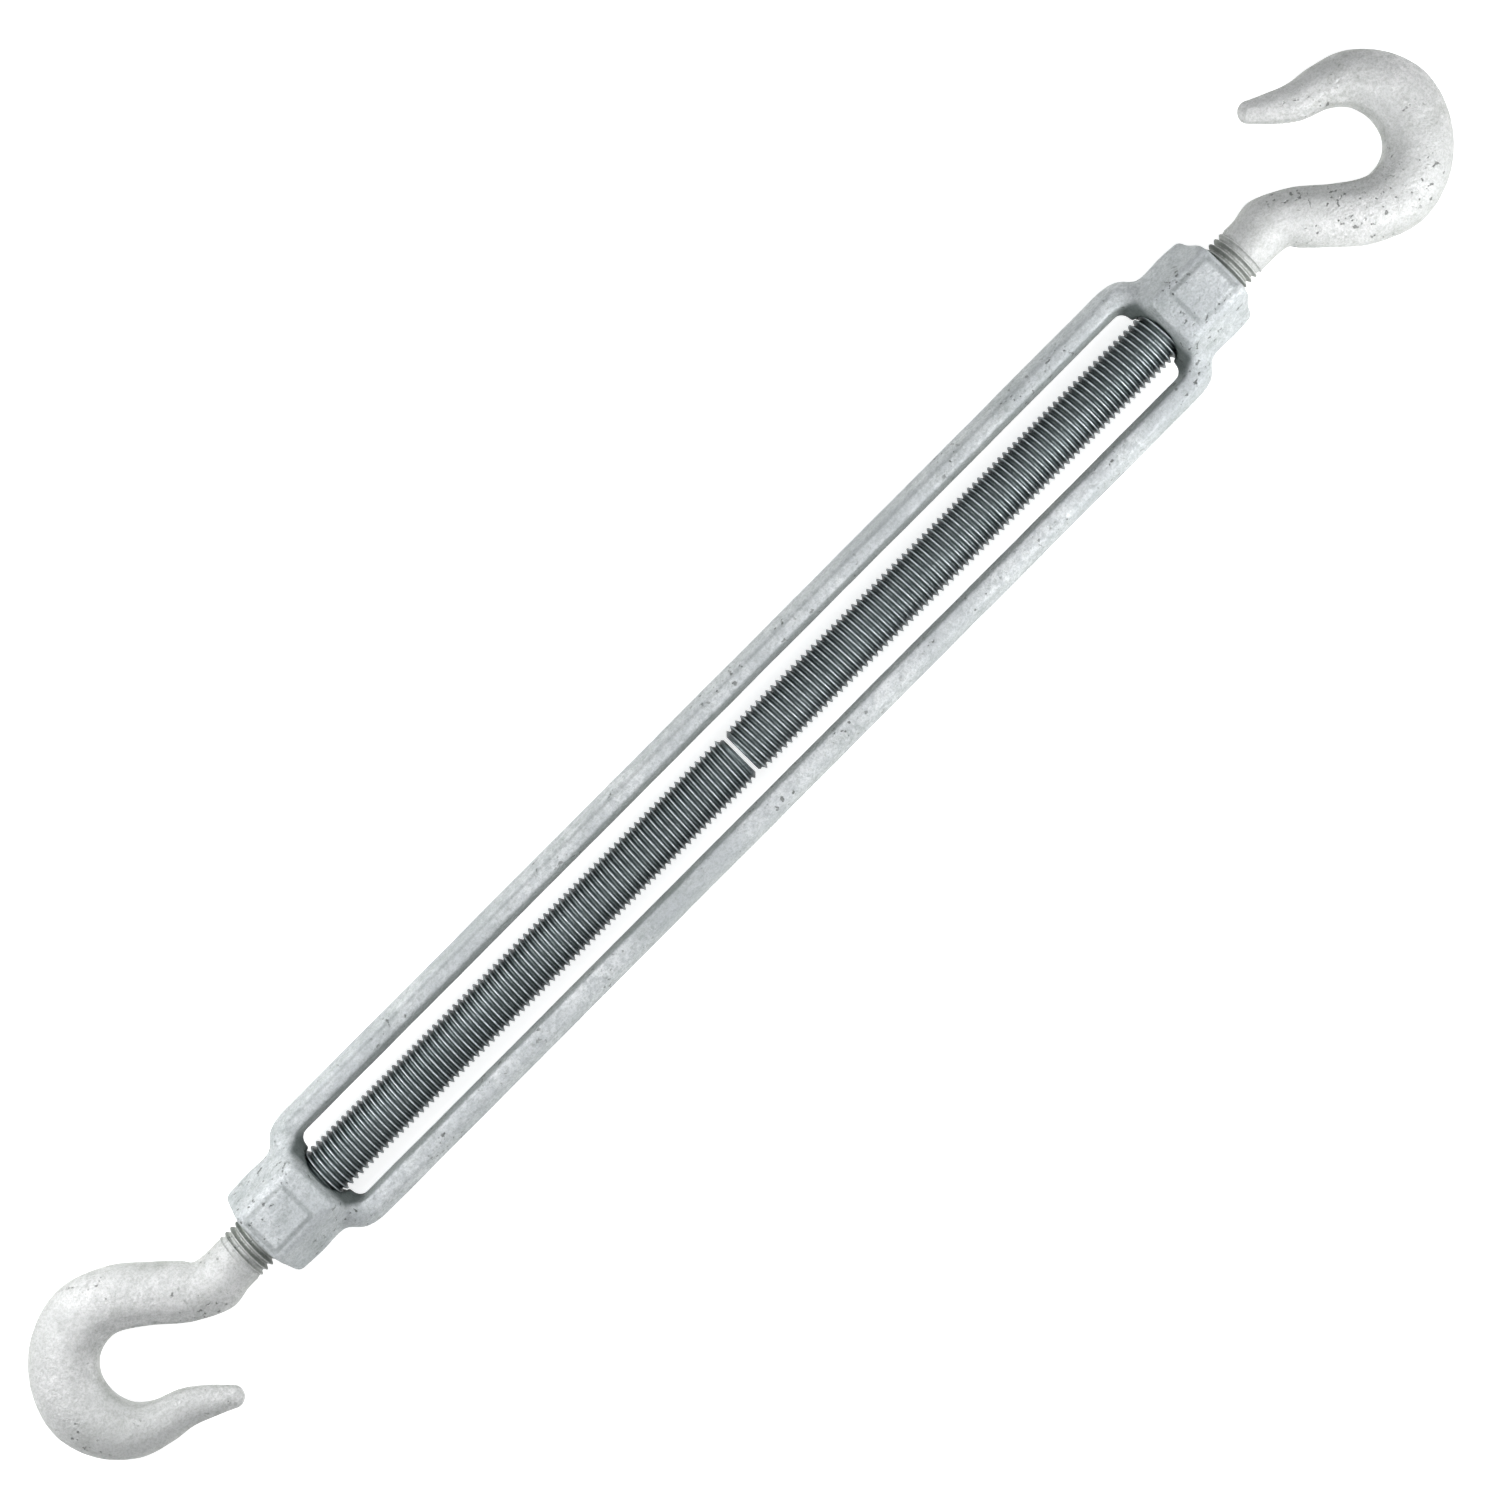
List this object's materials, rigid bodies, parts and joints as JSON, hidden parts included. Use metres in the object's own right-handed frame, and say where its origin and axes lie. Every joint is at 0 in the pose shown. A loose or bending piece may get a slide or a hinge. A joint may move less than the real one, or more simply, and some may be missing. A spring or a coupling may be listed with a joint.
{
  "type": "rigging turnbuckle",
  "caption": "Open-body turnbuckle with a hook at each end: turning the body draws the left-hand and right-hand threaded hooks together to tension a stay, chain or wire rope.",
  "frame": {"origin": "middle of the body, on the screw axis, where the two rods' ends nearly meet", "axes": "+X along the screw axis towards the right-hand-threaded hook, +Y across the body towards a rail, +Z square to the plane of the rails and hooks"},
  "size_m": [0.7634, 0.084, 0.0384],
  "materials": {
    "galvanised_body": "hot-dip galvanised drop forging, matt and finely mottled grey",
    "galvanised_hooks": "hot-dip galvanised drop forging, matt pale grey, darker steel in the threads"
  },
  "bodies": {
    "frame_body": {"frame_body": "galvanised_body"},
    "left_hand_hook": {"left_hand_hook": "galvanised_hooks"},
    "right_hand_hook": {"right_hand_hook": "galvanised_hooks"}
  },
  "joints": [
    {"name": "left_screw", "type": "slide", "parent": "frame_body", "child": "left_hand_hook", "axis": [-1, 0, 0], "range_m": [0, 0.229]},
    {"name": "right_screw", "type": "slide", "parent": "frame_body", "child": "right_hand_hook", "axis": [1, 0, 0], "range_m": [0, 0.229]}
  ],
  "couplings": [
    {"joint": "right_screw", "follows": "left_screw", "ratio": 1}
  ]
}
